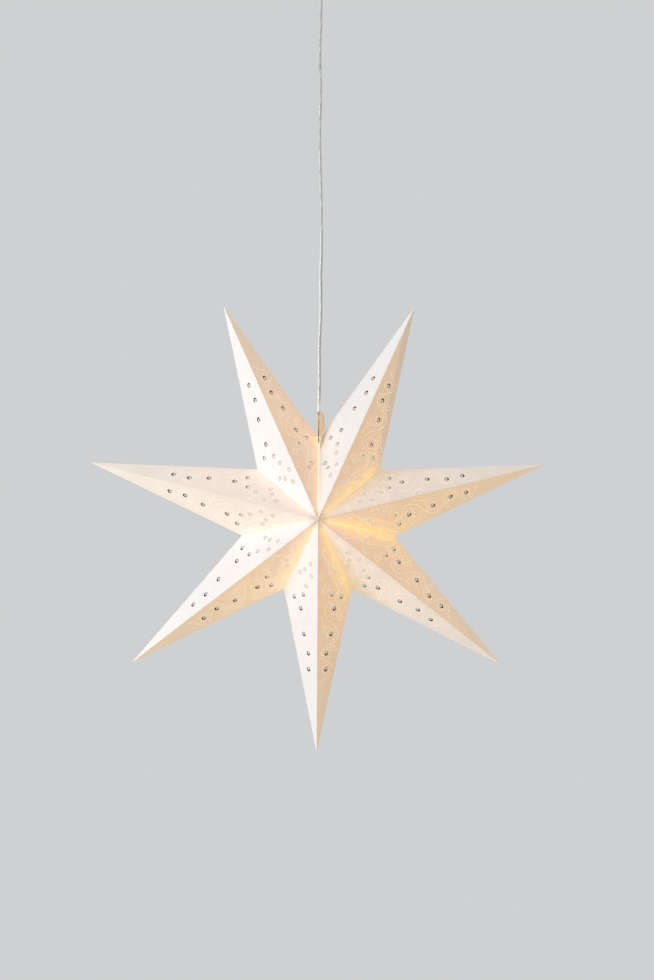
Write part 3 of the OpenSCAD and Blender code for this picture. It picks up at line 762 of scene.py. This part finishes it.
def vine_spots(star):
    """Places of the pin-pricks on one facet, kept off the edges, the eye cuts and each other."""
    gap = star.prick_gap
    off_ridge, off_edge, off_eye = 0.0025, 0.0035, 0.0042
    ring, outer_ring = 0.0052, 0.0082
    lines = [spline([Vector((z, x, 0)) / 1000 for z, x in stem], 24) for stem in (VINE_STEM, *VINE_TWIGS)]
    eyes = [Vector((*place, 0)) for place in eye_places(star)]
    for i, eye in enumerate(eyes):
        lines.append(curl(eye, ring, ring, 60 + 47 * i, 250 if i > 5 else 150, 40))
    for i in RING_EYES:
        lines.append(curl(eyes[i], outer_ring, outer_ring, 100 + 80 * i, 190, 40))
    for (z, x), first, last, start, turn in VINE_CURLS:
        lines.append(curl(Vector((z, x, 0)) / 1000, first / 1000, last / 1000, start, turn, 60))
    spots = []
    for line in lines:
        behind = gap
        for before, spot in zip(line, line[1:]):
            behind += (spot - before).length
            inside = off_ridge < spot.y < half_width(star, spot.x) - off_edge
            clear = all((spot - eye).length > off_eye for eye in eyes)
            apart = all((spot - other).length > gap * 0.8 for other in spots)
            if behind >= gap and inside and clear and apart:
                spots.append(spot)
                behind = 0
    return spots


def facet_pricks(star):
    """All pin-pricks of the facet right of an upright ridge, as one mesh of small craters."""
    rim_height, sunk, crater, taper = 0.00022, 0.00005, 0.00014, 0.72
    size = star.prick_size / 2
    _, ridge, _, outward = facet_axes(star)
    turn = Matrix((ridge, outward.cross(ridge), outward)).transposed().to_4x4()
    bm = bmesh.new()
    hole = bm.verts.layers.float.new("hole")
    for spot in vine_spots(star):
        place = on_facet(star, spot.x, spot.y)
        made = bmesh.ops.create_cone(
            bm, cap_ends=True, cap_tris=True, segments=7, radius1=size, radius2=size * taper,
            depth=rim_height, matrix=Matrix.Translation(place + outward * sunk) @ turn)
        for vert in made["verts"]:
            up = (vert.co - place).dot(outward)
            middle = (vert.co - place - outward * up).length < size * 0.1
            if up > 0:
                vert[hole] = 1.0 if middle else 0.45
                if middle:
                    vert.co -= outward * crater
    return mesh_from("facet_pricks", bm)


def four_facets(mesh):
    """The mesh of one facet repeated on the four facets of an upright point."""
    bm = bmesh.new()
    for side, back in ((1, 1), (-1, 1), (1, -1), (-1, -1)):
        verts, faces = len(bm.verts), len(bm.faces)
        bm.from_mesh(mesh)
        bm.verts.ensure_lookup_table()
        bm.faces.ensure_lookup_table()
        bmesh.ops.transform(bm, matrix=Matrix.Diagonal((side, back, 1, 1)), verts=bm.verts[verts:])
        if side * back < 0:
            bmesh.ops.reverse_faces(bm, faces=bm.faces[faces:])
    return bm


def cord_route():
    """The cord's line, from the lampholder up to the hanger."""
    low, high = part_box("cord")
    points = [(offset, 0, high.z - share * (high.z - low.z)) for share, offset in CORD_WAVE]
    return list(reversed(spline(points, 4)))


def tube(name, points, diameter, material, body, sides):
    """A round tube along a line, as a curve of one open spline."""
    data = bpy.data.curves.new(name, "CURVE")
    data.dimensions = "3D"
    data.bevel_depth = diameter / 2
    data.bevel_resolution = sides
    data.use_fill_caps = True
    line = data.splines.new("POLY")
    line.points.add(len(points) - 1)
    for point, place in zip(line.points, points):
        point.co = (*place, 1)
    data.materials.append(material)
    return mount(name, data, body)


def lathe(outline, steps):
    """A shape of revolution round the upright axis, from its outline as radius and height."""
    bm = bmesh.new()
    verts = [bm.verts.new((r, 0, z)) for r, z in outline]
    edges = [bm.edges.new(pair) for pair in zip(verts, verts[1:])]
    bmesh.ops.spin(bm, geom=verts + edges, cent=(0, 0, 0), axis=(0, 0, 1), angle=math.tau,
                   steps=steps, use_merge=True)
    bmesh.ops.remove_doubles(bm, verts=bm.verts, dist=SAME_SPOT)
    bmesh.ops.recalc_face_normals(bm, faces=bm.faces)
    for face in bm.faces:
        face.smooth = True
    return bm


def bulb_outline(bulb, low, high):
    """Radius and height along the bulb's glass: down the outside and back up the inside."""
    steps = 28
    top = high - 0.003
    outer = [(bulb.neck, high)]
    for k in range(steps + 1):
        s = k / steps
        if s < 0.5:
            rest, closing = bulb.neck, 1.0
        else:
            rest, closing = 0.003, math.sqrt(1 - (2 * s - 1) ** 8)
        outer.append((rest * closing + (bulb.radius - rest) * math.sin(math.pi * s), top - s * (top - low)))
    inner = [(max(r - GLASS_WALL, 0.0), z + (GLASS_WALL if r < 0.004 else 0.0)) for r, z in reversed(outer)]
    return outer + inner + [outer[0]]


# ---- Settings


class STAR_PG_star(PropertyGroup):
    """Sizes and colours of the folded star"""

    drop: FloatProperty(
        name="Drop", description="Star's centre below the ceiling", default=0.82, unit="LENGTH")
    tip_radius: FloatProperty(
        name="Tip radius", description="From the centre to a tip", default=0.308, unit="LENGTH")
    notch_radius: FloatProperty(
        name="Notch radius", description="From the centre to a notch", default=0.103, unit="LENGTH")
    half_depth: FloatProperty(
        name="Half depth", description="From the middle to an apex", default=0.075, unit="LENGTH")
    card_colour: FloatVectorProperty(
        name="Card", description="Colour of the card", subtype="COLOR", default=(0.945, 0.884, 0.87))
    crowd_colour: FloatVectorProperty(
        name="Crowd", description="Shade of the crowded folds", subtype="COLOR", default=(0.72, 0.68, 0.66))
    glow_colour: FloatVectorProperty(
        name="Glow", description="Light through the card", subtype="COLOR", default=(1.0, 0.49, 0.04))
    glow_near: FloatProperty(name="Glow near", description="Glow at the centre", default=0.39)
    glow_far: FloatProperty(name="Glow far", description="Glow at the tips", default=0.29)
    eye_flap: FloatProperty(name="Eye flap", description="Share of its width that the flap shows", default=0.8)
    prick_light: FloatVectorProperty(
        name="Prick light", description="Light in a pin-prick", subtype="COLOR", default=(0.75, 0.75, 0.66))
    prick_size: FloatProperty(name="Prick", description="Width of a pin-prick", default=0.0017, unit="LENGTH")
    prick_gap: FloatProperty(
        name="Prick gap", description="Distance between pin-pricks", default=0.0029, unit="LENGTH")
    tab_yaw: FloatProperty(
        name="Tab turn", description="Bend of the tabs behind the cord", default=math.radians(21), subtype="ANGLE")
    tab_pinch: FloatProperty(
        name="Tab pinch", description="Draws their front edges together", default=0.79)


class STAR_PG_cord(PropertyGroup):
    """Sizes and colours of the cord"""

    diameter: FloatProperty(
        name="Diameter", description="Outer diameter", default=0.004, unit="LENGTH")
    core: FloatProperty(
        name="Core", description="Diameter of one core", default=0.0017, unit="LENGTH")
    pitch: FloatProperty(
        name="Pitch", description="Length of one turn", default=0.034, unit="LENGTH")
    sheath_colour: FloatVectorProperty(
        name="Sheath", description="Colour of the sheath", subtype="COLOR", default=(0.93, 0.93, 0.92))


class STAR_PG_bulb(PropertyGroup):
    """Sizes and light of the bulb"""

    radius: FloatProperty(
        name="Radius", description="Largest radius", default=0.0175, unit="LENGTH")
    neck: FloatProperty(
        name="Neck", description="Radius in the screw cap", default=0.00575, unit="LENGTH")
    glow_colour: FloatVectorProperty(
        name="Light", description="Colour of the bulb's light", subtype="COLOR", default=(1.0, 0.76, 0.42))
    glass_glow: FloatProperty(name="Glass glow", description="Light on the glass", default=0.22)
    filament_glow: FloatProperty(name="Filament", description="Light of the filament", default=8.0)


class STAR_PG_fittings(PropertyGroup):
    """Colours of the lampholder and the ceiling fitting"""

    plastic: FloatVectorProperty(
        name="Plastic", description="White moulded plastic", subtype="COLOR", default=(0.86, 0.86, 0.84))
    nylon: FloatVectorProperty(
        name="Nylon", description="Hanger and clamp", subtype="COLOR", default=(0.82, 0.81, 0.77))
    brass: FloatVectorProperty(
        name="Brass", description="Contacts and sleeves", subtype="COLOR", default=(0.82, 0.6, 0.28))
    steel: FloatVectorProperty(
        name="Steel", description="Screws", subtype="COLOR", default=(0.66, 0.66, 0.67))


class STAR_PG_stage(PropertyGroup):
    """Camera, light and background"""

    distance: FloatProperty(
        name="Distance", description="From the camera to the star", default=2.5, unit="LENGTH")
    height: FloatProperty(
        name="Picture height", description="Height of the view", default=1.29, unit="LENGTH")
    right: FloatProperty(
        name="Right", description="Camera right of the star's centre", default=0.0112, unit="LENGTH")
    above: FloatProperty(
        name="Above", description="Camera above the star's centre", default=0.0375, unit="LENGTH")
    roll: FloatProperty(
        name="Roll", description="Turn round the view", default=math.radians(0.3), subtype="ANGLE")
    wall: FloatVectorProperty(
        name="Background", description="Colour behind the lantern", subtype="COLOR", default=(0.625, 0.632, 0.64))
    key: FloatProperty(name="Key light", description="Power of the soft light", default=49.5)
    key_size: FloatProperty(
        name="Key size", description="Width of the soft light", default=1.6, unit="LENGTH")
    key_distance: FloatProperty(
        name="Key distance", description="From the light to the star", default=2.7, unit="LENGTH")
    key_side: FloatVectorProperty(
        name="Key side", description="Side of the soft light", default=(-0.75, -0.65, 0.12))
    fill: FloatProperty(name="Fill light", description="Light from all round", default=0.43)
    floor: FloatProperty(name="Floor", description="Height of the floor", default=-2.4, unit="LENGTH")


def props(name):
    """The settings of one group."""
    return getattr(bpy.context.scene, PREFIX + name)


# ---- Operators


class STAR_OT_stage(Operator):
    """Sets the camera, light, background and floor"""

    bl_idname = "paper_star.stage"
    bl_label = "Stage"

    def execute(self, context):
        stage, star, scene = props("stage"), props("star"), context.scene
        camera = bpy.data.cameras.new("camera")
        camera.lens = camera.sensor_width / 2 / (stage.height / 2 / stage.distance)
        camera.dof.use_dof = False
        camera.clip_end = 50
        eye = scene_object("camera", camera)
        eye.matrix_world = (
            Matrix.Translation((stage.right, -stage.distance, stage.above - star.drop))
            @ Matrix.Rotation(math.radians(90), 4, "X") @ Matrix.Rotation(stage.roll, 4, "Z"))
        scene.camera = eye
        scene.view_settings.view_transform = "Standard"

        key = bpy.data.lights.new("key_light", "AREA")
        key.shape, key.size, key.energy = "DISK", stage.key_size, stage.key
        key.color = (0.9, 0.97, 1.0)
        lamp = scene_object("key_light", key)
        side = Vector(stage.key_side).normalized()
        lamp.rotation_euler = side.to_track_quat("Z", "Y").to_euler()
        lamp.location = side * stage.key_distance - Vector((0, 0, star.drop))

        world = bpy.data.worlds.new("soft_room")
        scene.world = world
        world.use_nodes = True
        room = Nodes(world.node_tree)
        path = room.node("LightPath")
        seen = path
        for ray in ("Is Glossy Ray", "Is Transmission Ray"):
            seen = seen.calc("MAXIMUM", seen, Link(room, path.socket.node.outputs[ray]))
        fill = room.node("Background", None, {"Color": (1.0, 0.985, 0.965), "Strength": stage.fill})
        wall = room.node("Background", None, {"Color": stage.wall, "Strength": 1.0})
        room.node("OutputWorld", None, {"Surface": room.node("MixShader", None, {0: seen, 1: fill, 2: wall})})

        bm = bmesh.new()
        low = Matrix.Translation((0, 0, stage.floor))
        bmesh.ops.create_circle(bm, cap_ends=True, segments=96, radius=3.0, matrix=low)
        mesh = mesh_from("floor", bm)
        floor = scene_object("floor", mesh)
        f = Finish("floor_paint", (0.85, 0.85, 0.85), 0.8)
        f.glow(f.tint(f.node("LightPath") * 0.42, stage.wall))
        f.paint(f.ramp(f.noise(6, 3, 0.5), (0.3, (0.64, 0.61, 0.55)), (0.7, (0.68, 0.65, 0.59))))
        mesh.materials.append(f.material)
        return {"FINISHED"}


class STAR_OT_cord(Operator):
    """Makes the clear cord with its two twisted cores"""

    bl_idname = "paper_star.cord"
    bl_label = "Cord"

    def execute(self, context):
        cord = props("cord")
        route = cord_route()
        sheath = tube("cord_sheath", route, cord.diameter, sheath_finish(cord), "pendant", 5)
        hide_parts("cord")
        fine = spline(route, 12)
        # One core painted pale and the other grey, the same wire shown lit and shaded, so that light and shade
        # alternate along the twist
        for half_turn, label, look, colour in (
                (0, "first", "pale_core", (0.95, 0.95, 0.93)), (1, "second", "grey_core", (0.7, 0.69, 0.67))):
            points, run = [], 0.0
            for before, place in zip([fine[0]] + fine, fine):
                run += (place - before).length
                turn = math.tau * run / cord.pitch + math.pi * half_turn
                points.append(place + cord.core * 0.5 * Vector((math.cos(turn), math.sin(turn), 0)))
            core = core_finish(look, colour)
            tube("cord_core_" + label, points, cord.core, core, "pendant", 2)
        dress(core_finish("core_insulation", (0.78, 0.77, 0.75)), "supply_cores", "holder_cores")
        return {"FINISHED"}


class STAR_OT_card(Operator):
    """Gives the seven folded points their card, leaning as folded by hand"""

    bl_idname = "paper_star.card"
    bl_label = "Folded points"

    def execute(self, context):
        star = props("star")
        plain = card_finish(star, "star_card", hem=0.08)
        hemmed = card_finish(star, "star_card_hemmed", hem=0.34)
        for name, (step, shift) in TIPS.items():
            bm = merged_copy("point_" + name)
            bm.transform(upright(star, step).inverted())
            map_facets(bm)
            open_eyes(star, bm)
            lean(star, bm, step, shift)
            bm.transform(upright(star, step))
            if abs(step) == 1:
                close_seam(star, bm)
            finish = hemmed if name == "top_right" else plain
            card = new_piece("card_" + name, bm, finish, "star")
            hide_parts("point_" + name)
        bm = merged_copy("glue_flaps")
        lean_with_neighbours(star, bm)
        flaps = new_piece("glue_flaps_leaning", bm, flap_finish(star), "star")
        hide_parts("glue_flaps")
        return {"FINISHED"}


class STAR_OT_pricks(Operator):
    """Pricks the vine of small holes into every facet"""

    bl_idname = "paper_star.pricks"
    bl_label = "Pin-pricks"

    def execute(self, context):
        star = props("star")
        finish = prick_finish(star)
        facet = facet_pricks(star)
        for name, (step, shift) in TIPS.items():
            bm = four_facets(facet)
            map_facets(bm)
            lean(star, bm, step, shift)
            bm.transform(upright(star, step))
            new_piece("pin_pricks_" + name, bm, finish, "star")
        bpy.data.meshes.remove(facet)
        return {"FINISHED"}


class STAR_OT_tabs(Operator):
    """Turns the two closing tabs and their dots round the cord"""

    bl_idname = "paper_star.tabs"
    bl_label = "Closing tabs"

    def execute(self, context):
        star = props("star")
        # Both tabs are the star's card: the left one's colour painted darker as shade, the right one's painted
        # warmer and a little darker
        left = tab_finish(star, "tab_card_left_painted_shade", (0.62, 0.54, 0.44))
        right = tab_finish(star, "tab_card_right", (0.9, 0.8, 0.72))
        # The dots' colours are tinted warm brown as painted shade in the slit between the tabs
        hooks = tape_finish("hook_tape", (0.8, 0.7, 0.56), 2400, 0.0004)
        loops = tape_finish("loop_tape", (0.86, 0.77, 0.64), 1500, 0.0006)
        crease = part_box("left_closing_tab")[0].z
        bend, pinch_from, pinch_over = 0.009, 0.016, 0.008
        for node, body, material, slot in (
                ("left_closing_tab", "left_tab", left, "tab_card"),
                ("right_closing_tab", "right_tab", right, "tab_card"),
                ("hook_dots", "left_tab", hooks, None),
                ("loop_dots", "right_tab", loops, None)):
            bm = merged_copy(node)
            slice_up(bm, 1, [k * 0.001 for k in range(-12, 13)])
            slice_up(bm, 2, [crease + k * 0.0015 for k in range(1, 21)])
            for vert in bm.verts:
                rise = clamped((vert.co.z - crease) / bend)
                rise *= rise * (3 - 2 * rise)
                back = max(0.0, vert.co.y - 0.001) * math.tan(star.tab_yaw)
                vert.co.x += rise * back + pinch(star, vert.co, (vert.co.z - crease - pinch_from) / pinch_over)
            piece = new_piece(node.replace("closing_", "") + "_leaning", bm, material, body)
            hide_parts(node)
        return {"FINISHED"}


class STAR_OT_bulb(Operator):
    """Blows the bulb's glass and finishes the bulb's other parts"""

    bl_idname = "paper_star.bulb"
    bl_label = "Bulb"

    def execute(self, context):
        bulb, fittings = props("bulb"), props("fittings")
        low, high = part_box("bulb_glass")
        bm = lathe(bulb_outline(bulb, low.z, high.z), 56)
        glass = new_piece("bulb_glass_blown", bm, glass_finish(bulb), "bulb")
        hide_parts("bulb_glass")
        dress(stem_finish(), "bulb_stem")
        dress(metal_finish("support_wire", (0.62, 0.6, 0.57), 0.35, (0.3, 0.28, 0.3)), "bulb_support_wires")
        dress(filament_finish(bulb), "bulb_filament")
        dress(metal_finish("screw_cap_brass", fittings.brass, 0.28, brushed=(1, 1, 5)), "bulb_screw_cap")
        dress(black_glass_finish(), "bulb_insulator")
        dress(metal_finish("solder_tip", (0.7, 0.7, 0.69), 0.42, (0.4, 0.4, 0.42)), "bulb_tip_contact")
        return {"FINISHED"}


class STAR_OT_lampholder(Operator):
    """Finishes the parts of the lampholder"""

    bl_idname = "paper_star.lampholder"
    bl_label = "Lampholder"

    def execute(self, context):
        fittings = props("fittings")
        low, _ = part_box("holder_skirt")
        grip = plastic_finish("holder_plastic_ribbed", fittings.plastic, 0.36, 40, (0, 0, low.z), (0.004, 0.028))
        dress(grip, "holder_skirt")
        dress(plastic_finish("holder_plastic", fittings.plastic, 0.36), "holder_cap")
        dress(ceramic_finish(), "holder_core_block")
        brass = metal_finish("contact_brass", fittings.brass, 0.3)
        dress(brass, "holder_terminals", "socket_sleeve", "centre_contact")
        screws = metal_finish("screw_steel", fittings.steel, 0.3, STEEL_TARNISH, (4, 1, 1))
        dress(screws, "holder_terminal_screws")
        dress(plastic_finish("grip_screw_nylon", fittings.nylon, 0.45), "cap_grip_screw")
        return {"FINISHED"}


class STAR_OT_ceiling(Operator):
    """Finishes the fittings at the ceiling"""

    bl_idname = "paper_star.ceiling"
    bl_label = "Ceiling fitting"

    def execute(self, context):
        fittings = props("fittings")
        dress(zinc_finish("plate_zinc", 180), "ceiling_plate")
        dress(zinc_finish("wire_zinc", 700), "ceiling_hook", "hook_nut", "hanging_ring")
        dress(plastic_finish("hanger_nylon", fittings.nylon, 0.45), "cord_hanger", "clamp_bar")
        dress(plastic_finish("block_plastic", (0.8, 0.8, 0.76), 0.4), "terminal_block")
        dress(metal_finish("sleeve_brass", fittings.brass, 0.3), "terminal_sleeves")
        screws = metal_finish("clamp_screw_steel", fittings.steel, 0.3, STEEL_TARNISH, (1, 4, 1))
        dress(screws, "clamp_screws", "terminal_screws")
        dress(plastic_finish("cup_plastic", (0.88, 0.88, 0.87), 0.3), "ceiling_cup")
        dress(plastic_finish("cup_screw_nylon", fittings.nylon, 0.45), "cup_grip_screw")
        return {"FINISHED"}


class STAR_PT_panel(Panel):
    """Lists the steps that make the lantern"""

    bl_label = "Paper star"
    bl_idname = "STAR_PT_panel"
    bl_space_type = "VIEW_3D"
    bl_region_type = "UI"
    bl_category = "Paper star"

    def draw(self, context):
        for name, group in GROUPS.items():
            box = self.layout.box()
            box.label(text=group.__doc__)
            for prop in group.__annotations__:
                box.prop(props(name), prop)
        for step in STEPS:
            self.layout.operator(step.bl_idname)


GROUPS = {
    "star": STAR_PG_star, "cord": STAR_PG_cord, "bulb": STAR_PG_bulb, "fittings": STAR_PG_fittings,
    "stage": STAR_PG_stage,
}
STEPS = (
    STAR_OT_stage, STAR_OT_cord, STAR_OT_card, STAR_OT_pricks, STAR_OT_tabs, STAR_OT_bulb,
    STAR_OT_lampholder, STAR_OT_ceiling,
)


def register():
    for cls in (*GROUPS.values(), *STEPS, STAR_PT_panel):
        bpy.utils.register_class(cls)
    for name, group in GROUPS.items():
        setattr(bpy.types.Scene, PREFIX + name, PointerProperty(type=group))


def unregister():
    for name in GROUPS:
        delattr(bpy.types.Scene, PREFIX + name)
    for cls in (STAR_PT_panel, *STEPS, *GROUPS.values()):
        bpy.utils.unregister_class(cls)


def main():
    register()
    for step in STEPS:
        getattr(bpy.ops.paper_star, step.bl_idname.split(".")[1])()


if __name__ == "__main__":
    main()
